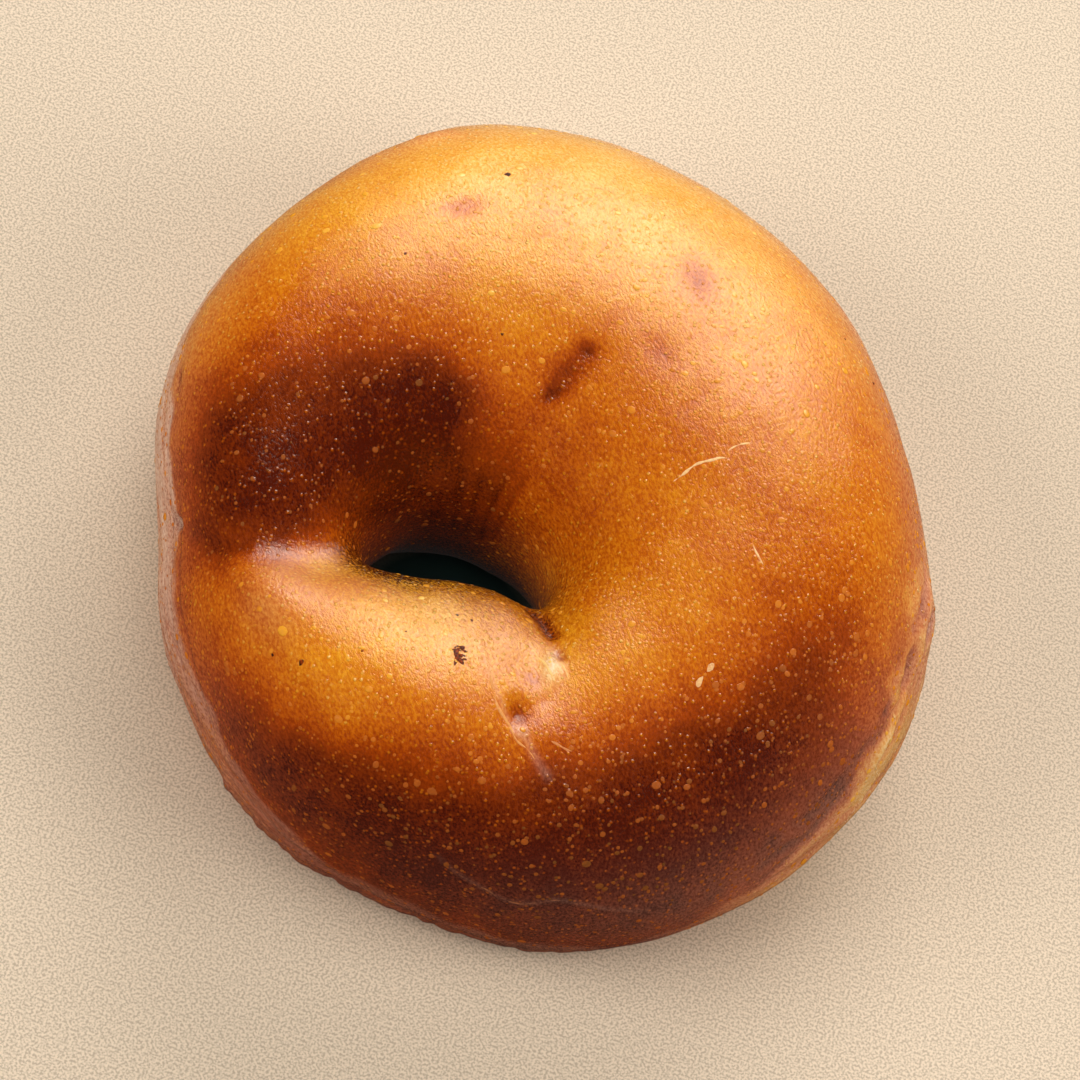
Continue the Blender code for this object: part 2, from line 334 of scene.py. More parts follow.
def slice_outline(tree, axis, turn, level):
    """One slice's outline, from under its middle past the hole side and round to the start."""
    out = Vector((math.cos(math.radians(turn)), math.sin(math.radians(turn)), 0.0))
    up = Vector((0.0, 0.0, 1.0))
    start = Vector((axis[0], axis[1], level))
    beyond = out * 200.0
    hole_side = tree.ray_cast(start, out)[0]
    outer_side = tree.ray_cast(start + beyond, -out)[0]
    middle = (hole_side + outer_side) / 2
    points = []
    for step in range(RAYS + 1):
        angle = 2 * math.pi * step / RAYS
        aim = -up * math.cos(angle) - out * math.sin(angle)
        points.append(tree.ray_cast(middle, aim)[0])
    return np.array(points)


def evenly(points, count):
    """count + 1 points at even steps along a line of points."""
    steps = np.linalg.norm(np.diff(points, axis=0), axis=1)
    run = np.concatenate(([0.0], np.cumsum(steps)))
    wanted = np.linspace(0.0, run[-1], count + 1)
    return np.column_stack([np.interp(wanted, run, points[:, k]) for k in range(3)])


def smoothed(top):
    """The top rows with the solid's facets rounded off and both base edges kept."""
    for _ in range(LINE_PASSES):
        top = (np.roll(top, 1, axis=0) + 2 * top + np.roll(top, -1, axis=0)) / 4
    for _ in range(ROW_PASSES):
        inner = (top[:, :-2] + 2 * top[:, 1:-1] + top[:, 2:]) / 4
        top = np.concatenate((top[:, :1], inner, top[:, -1:]), axis=1)
    return top


def with_base(top, ground):
    """The top rows and, between their two edges on the ground, the flat base."""
    top[:, (0, -1), 2] = ground
    share = np.linspace(0.0, 1.0, BASE_ROWS + 1)[1:-1, None]
    base = top[:, -1:, :] * (1 - share) + top[:, :1, :] * share
    return np.concatenate((top, base), axis=1)


def bare_grid():
    """Points of the bare crust: lines by rows, the top rows and then the base."""
    tree = packed_tree()
    axis = hole_axis()
    low, high = (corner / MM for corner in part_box(NODE))
    level = low.z * 0.55 + high.z * 0.45
    lines = []
    for turn in line_turns():
        outline = slice_outline(tree, axis, turn, level)
        above = np.nonzero(outline[:, 2] > low.z + 0.05)[0]
        lines.append(evenly(outline[above[0] - 1:above[-1] + 2], TOP_ROWS))
    return with_base(smoothed(np.array(lines)), low.z)


def grid_normals(grid):
    """Outward unit normals of the grid's points."""
    along = np.roll(grid, -1, axis=0) - np.roll(grid, 1, axis=0)
    across = np.roll(grid, -1, axis=1) - np.roll(grid, 1, axis=1)
    normal = np.cross(across, along)
    return normal / np.maximum(np.linalg.norm(normal, axis=2, keepdims=True), 1e-9)


class Skin:
    """The crust's grid with its normals, read by turn and share."""

    def __init__(self, grid):
        self.grid = grid
        self.normals = grid_normals(grid)
        self.turns = line_turns()

    def read(self, field, turn, share):
        """A field of the grid at a place."""
        marks = np.append(self.turns, 360.0)
        line = float(np.interp(turn % 360.0, marks, np.arange(TURN_LINES + 1)))
        first, row = int(line) % TURN_LINES, min(int(share * TOP_ROWS), TOP_ROWS - 1)
        mix, row_mix = line - int(line), share * TOP_ROWS - row
        pair = field[first] * (1 - mix) + field[(first + 1) % TURN_LINES] * mix
        return pair[row] * (1 - row_mix) + pair[row + 1] * row_mix

    def place(self, turn, share):
        """A place's point, and its directions: onward round the hole, out over the crust, up."""
        point = self.read(self.grid, turn, share)
        up = self.read(self.normals, turn, share)
        up = up / np.linalg.norm(up)
        onward = self.read(self.grid, turn + 1.0, share) - point
        onward = onward - up * onward.dot(up)
        onward = onward / np.linalg.norm(onward)
        return point, onward, np.cross(onward, up), up


# ---------------------------------------------------------------- relief


class Layers:
    """What the crust's features add at each point: relief, and how baked, bloomed or charred; these three also carry
    painted shade, highlights and reflections.
    """

    def __init__(self, skin):
        self.skin = skin
        shape = skin.grid.shape[:2]
        self.relief = np.zeros(shape)
        self.baked = np.zeros(shape)
        self.bloom_and_sheen = np.zeros(shape)
        self.char = np.zeros(shape)

    def near(self, points, reach):
        """Which of the grid's points may lie within reach of some points."""
        low, high = points.min(axis=0) - reach, points.max(axis=0) + reach
        grid = self.skin.grid
        inside = ((grid > low) & (grid < high)).all(axis=2)
        inside[:, TOP_ROWS + 1:] = False
        return np.nonzero(inside)


def noise_field(points, length, seed):
    """Smooth noise at points, about as long as length from one hill to the next hollow."""
    shift = Vector((seed * 17.3, seed * 5.1, seed * 9.7))
    return np.array([noise.noise(Vector(point) / length + shift) for point in points])


def add_lumps(layers):
    """The soft hills and hollows of hand-rolled dough."""
    points = layers.skin.grid.reshape(-1, 3)
    for seed, (length, height) in enumerate(LUMPS):
        field = noise_field(points, length, seed + 1)
        layers.relief += (field * height).reshape(layers.relief.shape)


def add_hollow(layers, turn, share, round_reach, over_reach, slant, depth, baked, bloom_and_sheen, char):
    """One hollow or swelling."""
    point, onward, out, up = layers.skin.place(turn, share)
    lean = math.radians(slant)
    first = onward * math.cos(lean) + out * math.sin(lean)
    second = out * math.cos(lean) - onward * math.sin(lean)
    reach = 2.6 * max(round_reach, over_reach)
    near = layers.near(point[None, :], reach)
    away = layers.skin.grid[near] - point
    level = (away @ first / round_reach) ** 2 + (away @ second / over_reach) ** 2
    weight = np.exp(-level - (away @ up / reach) ** 2)
    layers.relief[near] -= depth * weight
    layers.baked[near] += baked * weight
    layers.bloom_and_sheen[near] += bloom_and_sheen * weight
    layers.char[near] += char * weight


def smooth_route(places, steps):
    """Places along a smooth curve through a few places, and how far along each is, 0 to 1."""
    knots = np.array(places, dtype=float)
    knots[:, 0] = np.degrees(np.unwrap(np.radians(knots[:, 0])))
    ends = np.vstack((2 * knots[0] - knots[1], knots, 2 * knots[-1] - knots[-2]))
    found = []
    for index in range(len(knots) - 1):
        before, start, end, after = ends[index:index + 4]
        for share in np.arange(steps) / steps:
            bend = 2 * before - 5 * start + 4 * end - after
            twist = 3 * start - before - 3 * end + after
            found.append(start + 0.5 * share * (end - before + share * (bend + share * twist)))
    found.append(knots[-1])
    return np.array(found), np.linspace(0.0, 1.0, len(found))


def add_crease(layers, places, half_width, depth, step, baked, bloom_and_sheen, char, gaps=0.0, seed=0):
    """A groove or a ridge along a route, which may have one side higher than the other."""
    route, along = smooth_route(places, 8)
    frames = [layers.skin.place(*place) for place in route]
    points = np.array([found[0] for found in frames])
    ups = np.array([found[3] for found in frames])
    ahead = np.gradient(points, axis=0)
    ahead = ahead / np.linalg.norm(ahead, axis=1, keepdims=True)
    left = np.cross(ups, ahead)
    strength = np.sqrt(np.clip(np.minimum(along, 1 - along) / 0.18, 0.0, 1.0))
    if gaps:
        strength = strength * (1 - gaps * np.clip(0.5 + 1.6 * noise_field(points, 5.0, seed), 0, 1))
    reach = half_width * (7.0 if step else 3.0)
    near = layers.near(points, reach)
    grid = layers.skin.grid[near]
    away = grid[:, None, :] - points[None, :, :]
    nearest = np.argmin((away ** 2).sum(axis=2), axis=1)
    away = away[np.arange(len(grid)), nearest]
    away = away - ahead[nearest] * (away * ahead[nearest]).sum(axis=1, keepdims=True) * 0.9
    gap = np.linalg.norm(away, axis=1) / half_width
    side = (away * left[nearest]).sum(axis=1) / half_width
    strength = strength[nearest]
    weight = np.exp(-gap ** 2) * strength
    rise = step * 0.5 * np.tanh(side) * np.exp(-(gap / 3.5) ** 2) * strength
    layers.relief[near] += rise - depth * weight
    layers.baked[near] += baked * weight
    layers.bloom_and_sheen[near] += bloom_and_sheen * weight
    layers.char[near] += char * weight


def add_wrinkles(layers, turns, share_start, share_end, count, wobble, half_width, depth, baked, bloom_and_sheen, seed):
    """A strip of broken wrinkles side by side."""
    gap = angle_gap(turns[1], turns[0])
    pieces = max(8, int(abs(gap) / 4))
    for index in range(count):
        mix = index / (count - 1)
        start = share_start[0] * (1 - mix) + share_start[1] * mix
        end = share_end[0] * (1 - mix) + share_end[1] * mix
        places = []
        for piece in range(pieces + 1):
            run = piece / pieces
            sway = noise.noise(Vector((run * 7.0 + index * 3.7, index * 1.9, seed * 4.3)))
            places.append((turns[0] + gap * run, start * (1 - run) + end * run + wobble * sway))
        add_crease(layers, places, half_width, depth, 0.0, baked, 0.0, 0.0, 0.9, seed + index)
        bloomed = [(turn, share + 0.008) for turn, share in places]
        add_crease(layers, bloomed, half_width, -depth * 0.4, 0.0, 0.0, bloom_and_sheen, 0.0, 0.9, seed + index)


def add_base_waves(layers):
    """The ragged outer base edge."""
    (start, end), length, height = BASE_WAVES
    skin = layers.skin
    for line, turn in enumerate(skin.turns):
        if start < turn < end:
            fade = soft_step(turn, start, start + 12) * soft_step(turn, end, end - 12)
            edge = Vector(skin.grid[line, TOP_ROWS]) / length
            wave = noise.noise(edge) + 0.5 * noise.noise(edge * 2.3)
            rows = np.arange(TOP_ROWS + 1) / TOP_ROWS
            layers.relief[line, :TOP_ROWS + 1] += height * wave * fade * soft_step(rows, 0.86, 0.97)


def add_baking(layers):
    """How far each part is baked, with painted shade in the hole and on slopes turned from the light; and the tinted
    zones' bloom and char, partly painted reflection and shade.
    """
    skin = layers.skin
    shares = np.minimum(np.arange(ROWS) / TOP_ROWS, 1.0)
    turn, share = np.meshgrid(skin.turns, shares, indexing="ij")
    layers.baked += BAKED
    for _name, at_turn, at_share, turn_reach, share_reach, change in ZONES:
        gap = (angle_gap(turn, at_turn) / turn_reach) ** 2 + ((share - at_share) / share_reach) ** 2
        layers.baked += change * np.exp(-gap)
    for _name, at_turn, at_share, turn_reach, share_reach, bloom_and_sheen, char in TINTED_ZONES:
        gap = (angle_gap(turn, at_turn) / turn_reach) ** 2 + ((share - at_share) / share_reach) ** 2
        layers.bloom_and_sheen += bloom_and_sheen * np.exp(-gap)
        layers.char += char * np.exp(-gap)
    points = skin.grid.reshape(-1, 3)
    for seed, (length, change) in enumerate(BAKING_MOTTLE):
        layers.baked += change * noise_field(points, length, 20 + seed).reshape(layers.baked.shape)
    over = np.maximum(layers.baked - DARK_START, 0.0)
    layers.baked = np.minimum(layers.baked, DARK_START) + DARK_ROOM * (1.0 - np.exp(-over / DARK_ROOM))
    layers.baked[:, TOP_ROWS + 1:] = UNDERSIDE_BAKED


def add_foot(layers):
    """The drier, paler side under the browned skin, with streaks along it; on the left its bloom is partly a painted
    reflection.
    """
    skin = layers.skin
    shares = np.minimum(np.arange(ROWS) / TOP_ROWS, 1.0)
    turn, share = np.meshgrid(skin.turns, shares, indexing="ij")
    turns, edges, blooms, changes = np.array(FOOT).T
    wobble = noise_field(skin.grid.reshape(-1, 3), 5.0, 60).reshape(turn.shape) * FOOT_WOBBLE
    start = np.interp(turn, turns, edges, period=360.0) + wobble
    inside = soft_step(share, start - FOOT_SOFTNESS, start + FOOT_SOFTNESS)
    angle = np.radians(turn)
    along = np.stack((np.cos(angle) * 3.0, np.sin(angle) * 3.0, share * 62.0), axis=-1)
    streaks = noise_field(along.reshape(-1, 3), 1.0, 61).reshape(turn.shape)
    layers.bloom_and_sheen += inside * np.interp(turn, turns, blooms, period=360.0) * (1.0 + 0.8 * streaks)
    layers.baked += inside * np.interp(turn, turns, changes, period=360.0) * (1.0 + 0.8 * streaks)
    layers.relief += inside * 0.10 * streaks


def build_layers(skin):
    """Every feature of the crust, on its bare grid."""
    layers = Layers(skin)
    add_lumps(layers)
    for _name, *values in HOLLOWS:
        add_hollow(layers, *values)
    for _name, *values in CREASES:
        add_crease(layers, *values)
    for seed, (_name, *values) in enumerate(WRINKLES):
        add_wrinkles(layers, *values, seed=40 + 10 * seed)
    add_base_waves(layers)
    add_baking(layers)
    add_foot(layers)
    return layers


def raised_grid(layers):
    """The grid moved along its normals by the relief, with the base kept flat on the ground."""
    skin = layers.skin
    ground = skin.grid[..., 2].min()
    fade = soft_step(skin.grid[..., 2] - ground, *RELIEF_FADE)
    edge = np.arange(ROWS) > TOP_ROWS * 0.9
    level = skin.normals.copy()
    level[..., 2] *= fade
    grid = skin.grid + level * (layers.relief * np.where(edge[None, :], 1.0, fade))[..., None]
    grid[..., 2] = np.maximum(grid[..., 2], ground)
    return with_base(grid[:, :TOP_ROWS + 1].copy(), ground)


# ---------------------------------------------------------------- meshes


def make_object(name, points, faces, material):
    """A smooth mesh object from points in millimetres."""
    mesh = bpy.data.meshes.new(name)
    mesh.from_pydata((np.asarray(points) * MM).tolist(), [], faces)
    mesh.shade_smooth()
    mesh.materials.append(material)
    piece = bpy.data.objects.new(name, mesh)
    bpy.context.scene.collection.objects.link(piece)
    return piece


def add_numbers(piece, name, values):
    """A number at each point, which the material reads by name."""
    attribute = piece.data.attributes.new(name, "FLOAT", "POINT")
    attribute.data.foreach_set("value", np.asarray(values, dtype=np.float32).ravel())


def crust_faces():
    """Quads of the closed grid, facing out."""
    line, row = np.meshgrid(np.arange(TURN_LINES), np.arange(ROWS), indexing="ij")
    after, over = (line + 1) % TURN_LINES, (row + 1) % ROWS
    corners = (line * ROWS + row, line * ROWS + over, after * ROWS + over, after * ROWS + row)
    return np.stack(corners, axis=-1).reshape(-1, 4).tolist()


def add_crust_map(piece):
    """A flat map of the crust as two half rings, with less room for the base."""
    half = TURN_LINES // 2
    line, row = np.meshgrid(np.arange(TURN_LINES), np.arange(ROWS), indexing="ij")
    rows = np.arange(ROWS + 1)
    top_part = rows / TOP_ROWS * CRUST_MAP_TOP
    base_part = CRUST_MAP_TOP + (rows - TOP_ROWS) / BASE_ROWS * (1 - CRUST_MAP_TOP)
    heights = np.where(rows <= TOP_ROWS, top_part, base_part)
    strip = line // half
    corners = []
    for line_step, row_step in ((0, 0), (0, 1), (1, 1), (1, 0)):
        across = (line % half + line_step) / half
        up = (strip + heights[row + row_step] * 0.98 + 0.01) / 2
        corners.append(np.stack((across * 0.98 + 0.01, up), axis=-1))
    places = np.stack(corners, axis=2).reshape(-1)
    layer = piece.data.uv_layers.new(name="OFBake")
    layer.data.foreach_set("uv", places.astype(np.float32))


def dome(point, onward, out, up, radius, height, longer):
    """Points and faces of one low blister, its rim sunk into the crust."""
    points = [point + up * height]
    for share, level in ((0.55, 0.76), (0.86, 0.36), (1.04, -0.18)):
        for step in range(DOME_SIDES):
            angle = 2 * math.pi * step / DOME_SIDES
            spread = onward * math.cos(angle) * longer + out * math.sin(angle)
            points.append(point + spread * radius * share + up * height * level)
    faces = []
    for step in range(DOME_SIDES):
        after = (step + 1) % DOME_SIDES
        faces.append((0, 1 + step, 1 + after))
        for ring in (1, 1 + DOME_SIDES):
            faces.append((ring + step, ring + DOME_SIDES + step, ring + DOME_SIDES + after, ring + after))
    faces.append(tuple(range(3 * DOME_SIDES, 2 * DOME_SIDES, -1)))
    return points, faces


def fleck(draw, point, onward, out, up, radius, longer):
    """Points and faces of one thin, ragged burnt fleck."""
    lean = draw.uniform(0, math.pi)
    first = onward * math.cos(lean) + out * math.sin(lean)
    second = out * math.cos(lean) - onward * math.sin(lean)
    points = [point + up * 0.07]
    rim = []
    for step in range(FLECK_SIDES):
        angle = 2 * math.pi * step / FLECK_SIDES
        reach = radius * draw.uniform(0.55, 1.2)
        spread = first * math.cos(angle) * longer + second * math.sin(angle)
        points.append(point + spread * reach * 0.7 + up * 0.05)
        rim.append(point + spread * reach - up * 0.03)
    faces = []
    for step in range(FLECK_SIDES):
        after = (step + 1) % FLECK_SIDES
        faces.append((0, 1 + step, 1 + after))
        faces.append((1 + step, 1 + FLECK_SIDES + step, 1 + FLECK_SIDES + after, 1 + after))
    faces.append(tuple(range(2 * FLECK_SIDES, FLECK_SIDES, -1)))
    return points + rim, faces


def skin_fold(skin, places, half_width, height, seed):
    """Points and faces of one thin raised fold of skin, swaying a little and tapered at its ends."""
    rough = np.array([skin.place(*place)[0] for place in places])
    run = np.linalg.norm(np.diff(rough, axis=0), axis=1).sum()
    route, along = smooth_route(places, max(3, int(run / FOLD_STEP / (len(places) - 1))))
    frames = [skin.place(*place) for place in route]
    middles = np.array([found[0] for found in frames])
    ahead = np.gradient(middles, axis=0)
    points = []
    for index, (middle, _onward, _out, up) in enumerate(frames):
        side = np.cross(up, ahead[index])
        side = side / np.linalg.norm(side)
        sway = noise.noise(Vector(middle) / 2.5 + Vector((seed * 3.1, 0.0, 0.0)))
        body = 0.72 + 1.0 * noise.noise(Vector(middle) / 1.3 + Vector((0.0, seed * 2.3, 0.0)))
        taper = math.sqrt(min(along[index], 1 - along[index]) / 0.5) * 0.9 + 0.1
        for width, level in FOLD_CUT:
            over = side * (width * half_width * taper * max(body, 0.15) + sway * half_width * 1.2)
            points.append(middle + over + up * (level * height * taper * min(body, 1.2) - 0.04))
    count, faces = len(FOLD_CUT), []
    for cut in range(len(frames) - 1):
        for step in range(count):
            after = (step + 1) % count
            here, there = cut * count, (cut + 1) * count
            faces.append((here + step, here + after, there + after, there + step))
    last = (len(frames) - 1) * count
    faces.append(tuple(range(count - 1, -1, -1)))
    faces.append(tuple(range(last, last + count)))
    return points, faces


def join(pieces):
    """One list of points and one of faces, from several."""
    points, faces = [], []
    for some_points, some_faces in pieces:
        start = len(points)
        points += some_points
        faces += [tuple(start + corner for corner in face) for face in some_faces]
    return points, faces


# ---------------------------------------------------------------- materials


class Tree:
    """A node tree with short ways to add and join its nodes."""

    def __init__(self, tree):
        self.tree = tree

    def add(self, kind, settings=None, **inputs):
        """A node with its settings, and its inputs set or joined by name."""
        node = self.tree.nodes.new(kind)
        for name, value in (settings or {}).items():
            setattr(node, name, value)
        for name, value in inputs.items():
            self.feed(node.inputs[name.replace("_", " ")], value)
        return node

    def feed(self, socket, value):
        if isinstance(value, bpy.types.NodeSocket):
            self.tree.links.new(value, socket)
        else:
            socket.default_value = value

    def sum(self, operation, first, second, third=None):
        """The result of a Math node."""
        node = self.tree.nodes.new("ShaderNodeMath")
        node.operation = operation
        for socket, value in zip(node.inputs, (first, second, third)):
            if value is not None:
                self.feed(socket, value)
        return node.outputs["Value"]

    def range(self, value, start, end, low=0.0, high=1.0):
        """A value stretched from start..end to low..high, and held there beyond."""
        node = self.tree.nodes.new("ShaderNodeMapRange")
        for socket, number in zip(node.inputs, (value, start, end, low, high)):
            self.feed(socket, number)
        return node.outputs["Result"]

    def mix(self, share, first, second):
        """Two colours mixed by a share."""
        node = self.tree.nodes.new("ShaderNodeMix")
        node.data_type = "RGBA"
        for socket, value in zip((node.inputs[0], node.inputs[6], node.inputs[7]), (share, first, second)):
            self.feed(socket, value)
        return node.outputs[2]

    def number(self, name):
        """A number that the mesh holds at its points."""
        return self.add("ShaderNodeAttribute", {"attribute_name": name}).outputs["Fac"]


def new_group(name, inputs, outputs):
    """An empty node group with its sockets, as a Tree, its input node and its output node."""
    group = bpy.data.node_groups.new(name, "ShaderNodeTree")
    for label, kind, default in inputs:
        socket = group.interface.new_socket(label, in_out="INPUT", socket_type=kind)
        socket.default_value = default
    for label, kind in outputs:
        group.interface.new_socket(label, in_out="OUTPUT", socket_type=kind)
    tree = Tree(group)
    return tree, tree.add("NodeGroupInput").outputs, tree.add("NodeGroupOutput").inputs


def place_group(tree, name, **inputs):
    """A group placed in a tree, with its inputs set or joined by name."""
    node = tree.add("ShaderNodeGroup", {"node_tree": bpy.data.node_groups[name]})
    for label, value in inputs.items():
        tree.feed(node.inputs[label.replace("_", " ")], value)
    return node.outputs


def make_baked_colour(colours):
    """The group that turns how far dough is baked into its colour."""
    tree, given, made = new_group(
        "Baked colour", [("Baked", "NodeSocketFloat", 0.5)], [("Colour", "NodeSocketColor")])
    ramp = tree.add("ShaderNodeValToRGB", Fac=given["Baked"])
    stops = ramp.color_ramp.elements
    steps = (("straw", 0.0), ("golden", 0.22), ("amber", 0.40), ("rust", 0.58), ("umber", 0.74), ("chestnut", 0.97))
    while len(stops) < len(steps):
        stops.new(0.5)
    for stop, (name, position) in zip(stops, steps):
        stop.position = position
        stop.color = (*getattr(colours, name), 1.0)
    tree.feed(made["Colour"], ramp.outputs["Color"])


def make_crust_grain():
    """The group for the skin's fine grain: a height, specks and a slow mottle."""
    sockets = [("Size", "NodeSocketFloat", 0.7), ("Stretch", "NodeSocketFloat", 0.5)]
    tree, given, made = new_group(
        "Crust grain", sockets,
        [("Height", "NodeSocketFloat"), ("Specks", "NodeSocketFloat"), ("Mottle", "NodeSocketFloat")])
    place = tree.add("ShaderNodeTexCoord").outputs["Object"]
    turned = tree.add("ShaderNodeVectorRotate", {"rotation_type": "Z_AXIS"}, Vector=place, Angle=GRAIN_TURN)
    squeeze = tree.add("ShaderNodeCombineXYZ", X=given["Stretch"], Y=1.0, Z=1.0)
    drawn = tree.add("ShaderNodeVectorMath", {"operation": "MULTIPLY"})
    tree.feed(drawn.inputs[0], turned.outputs["Vector"])
    tree.feed(drawn.inputs[1], squeeze.outputs["Vector"])
    scale = tree.sum("DIVIDE", 1 / MM, given["Size"])
    grain = tree.add("ShaderNodeTexNoise", Vector=drawn.outputs["Vector"], Scale=scale, Detail=3.0, Roughness=0.7)
    cells = tree.add("ShaderNodeTexVoronoi", Vector=place, Scale=1 / (0.80 * MM), Randomness=1.0)
    lucky = tree.range(tree.add("ShaderNodeSeparateColor", Color=cells.outputs["Color"]).outputs["Red"], 0.30, 0.85)
    dots = tree.range(cells.outputs["Distance"], 0.34, 0.16)
    slow = tree.add("ShaderNodeTexNoise", Vector=place, Scale=1 / (5.0 * MM), Detail=3.0, Roughness=0.55)
    tree.feed(made["Height"], grain.outputs["Fac"])
    tree.feed(made["Specks"], tree.sum("MULTIPLY", dots, lucky))
    tree.feed(made["Mottle"], tree.range(slow.outputs["Fac"], 0.25, 0.75, -1.0, 1.0))


def new_material(name, roughness, gloss=0.5):
    """A material as a Tree, and its shader, with the roughness and the gloss set on it."""
    material = bpy.data.materials.new(name)
    material.use_nodes = True
    shader = material.node_tree.nodes["Principled BSDF"]
    shader.inputs["Roughness"].default_value = roughness
    shader.inputs["Specular Tint"].default_value = GLOSS_TINT
    shader.inputs["Specular IOR Level"].default_value = gloss
    return material, Tree(material.node_tree), shader


def crust_material(colours):
    """Baked skin: browned by zone, with grain, specks, bloom on stretched skin and char; painted shade sits in the
    browning and the char, painted highlights and reflections in the bloom.
    """
    material, tree, shader = new_material("Baked crust", 0.22, 1.0)
    grain = place_group(tree, "Crust grain", Size=0.38, Stretch=0.60)
    baked = tree.sum("ADD", tree.number("baked"), tree.sum("MULTIPLY", grain["Mottle"], 0.05))
    fading = tree.range(baked, 0.55, 0.85, 0.11, 0.045)
    baked = tree.sum("ADD", baked, tree.sum("MULTIPLY", tree.range(grain["Height"], 0.38, 0.62, 1.0, -1.0), fading))
    colour = place_group(tree, "Baked colour", Baked=baked)["Colour"]
    lighter = tree.sum("SUBTRACT", baked, 0.32)
    speck_colour = place_group(tree, "Baked colour", Baked=lighter)["Colour"]
    colour = tree.mix(tree.sum("MULTIPLY", grain["Specks"], 0.7), colour, speck_colour)
    bloom_and_sheen = tree.sum("MULTIPLY", tree.number("bloom_and_sheen"), tree.range(grain["Height"], 0.35, 0.6, 0.4, 1.0))
    colour = tree.mix(bloom_and_sheen, colour, (*colours.bloom_and_sheen, 1.0))
    char = tree.sum("MULTIPLY", tree.number("char"), tree.range(grain["Height"], 0.6, 0.4, 0.4, 1.4))
    colour = tree.mix(tree.range(char, 0.0, 1.0), colour, (*colours.char, 1.0))
    tree.feed(shader.inputs["Base Color"], colour)
    gloss = tree.range(grain["Mottle"], -1.0, 1.0, 0.11, 0.18)
    gloss = tree.sum("ADD", gloss, tree.sum("MULTIPLY", bloom_and_sheen, 0.30))
    tree.feed(shader.inputs["Roughness"], tree.sum("ADD", gloss, tree.sum("MULTIPLY", grain["Specks"], -0.05)))
    height = tree.sum("ADD", grain["Height"], tree.sum("MULTIPLY", grain["Specks"], 0.8))
    bump = tree.add("ShaderNodeBump", Height=height, Distance=0.15 * MM, Strength=1.0)
    tree.feed(shader.inputs["Normal"], bump.outputs["Normal"])
    return material


def blister_material(colours):
    """A blister's thin skin, paler than the crust round it."""
    material, tree, shader = new_material("Blister skin", 0.20, 0.7)
    grain = place_group(tree, "Crust grain", Size=0.45, Stretch=1.0)
    baked = tree.sum("ADD", tree.number("baked"), tree.range(grain["Height"], 0.3, 0.7, 0.05, -0.05))
    colour = place_group(tree, "Baked colour", Baked=baked)["Colour"]
    tree.feed(shader.inputs["Base Color"], tree.mix(BLISTER_PALENESS, colour, (*colours.straw, 1.0)))
    bump = tree.add("ShaderNodeBump", Height=grain["Height"], Distance=0.03 * MM, Strength=1.0)
    tree.feed(shader.inputs["Normal"], bump.outputs["Normal"])
    return material


def fold_material(colours):
    """A thin fold of dried skin, paler than the crust it rises from."""
    material, tree, shader = new_material("Dry skin", 0.60, 0.2)
    grain = place_group(tree, "Crust grain", Size=0.40, Stretch=1.0)
    baked = tree.sum("ADD", tree.number("baked"), tree.range(grain["Height"], 0.3, 0.7, 0.10, -0.10))
    colour = place_group(tree, "Baked colour", Baked=baked)["Colour"]
    pale = tree.sum("MULTIPLY", tree.number("bloom_and_sheen"), tree.range(grain["Height"], 0.35, 0.60, 0.6, 1.1))
    cream = tree.mix(0.4, (*colours.straw, 1.0), (*colours.bloom_and_sheen, 1.0))
    tree.feed(shader.inputs["Base Color"], tree.mix(tree.range(pale, 0.0, 1.0), colour, cream))
    bump = tree.add("ShaderNodeBump", Height=grain["Height"], Distance=0.05 * MM, Strength=1.0)
    tree.feed(shader.inputs["Normal"], bump.outputs["Normal"])
    return material


def fleck_material(colours):
    """Burnt dough: nearly black, with brown where it is thin."""
    material, tree, shader = new_material("Burnt fleck", 0.40, 0.2)
    grain = place_group(tree, "Crust grain", Size=0.3, Stretch=1.0)
    brown = (*colours.umber, 1.0)
    share = tree.range(grain["Height"], 0.47, 0.62)
    tree.feed(shader.inputs["Base Color"], tree.mix(share, (*colours.char, 1.0), brown))
    bump = tree.add("ShaderNodeBump", Height=grain["Height"], Distance=0.05 * MM, Strength=1.0)
    tree.feed(shader.inputs["Normal"], bump.outputs["Normal"])
    return material


def floor_material(colours):
    """Plain pale card, hardly mottled, with painted shade under the hole."""
    material, tree, shader = new_material("Pale floor", 0.85)
    place = tree.add("ShaderNodeTexCoord").outputs["Object"]
    fibre = tree.add("ShaderNodeTexNoise", Vector=place, Scale=1 / (0.34 * MM), Detail=2.0)
    darker = tuple(channel * 0.62 for channel in colours.floor)
    share = tree.range(fibre.outputs["Fac"], 0.38, 0.58)
    card = tree.mix(share, (*darker, 1.0), (*colours.floor, 1.0))
    # Painted shade on the floor round the hole's axis.
    away = tree.add("ShaderNodeVectorMath", {"operation": "DISTANCE"})
    tree.feed(away.inputs[0], place)
    tree.feed(away.inputs[1], (*(hole_axis() * MM), 0.0))
    shade = tree.range(away.outputs["Value"], SHADE_REACH[0] * MM, SHADE_REACH[1] * MM, 1.0, 0.0)
    tree.feed(shader.inputs["Base Color"], tree.mix(shade, card, (*colours.shade, 1.0)))
    return material


# ---------------------------------------------------------------- settings


def length(name, description, default):
    """A length in metres, from millimetres."""
    return FloatProperty(name=name, description=description, default=default * MM, min=0.0, unit="LENGTH", precision=5)


def colour(name, description, default):
    return FloatVectorProperty(name=name, description=description, default=default, subtype="COLOR", size=3, min=0.0, max=1.0)


class BagelSizes(bpy.types.PropertyGroup):
    """Sizes that a user would change"""

    blisters: IntProperty(name="Blisters", description="How many blisters the crust has", default=3400, min=0)
    smallest: length("Smallest blister", "Radius of the smallest blister", 0.14)
    usual: length("Usual spread", "How much wider a usual blister may be", 0.15)
    widest: length("Widest spread", "How much wider the rare widest blister may be", 0.26)


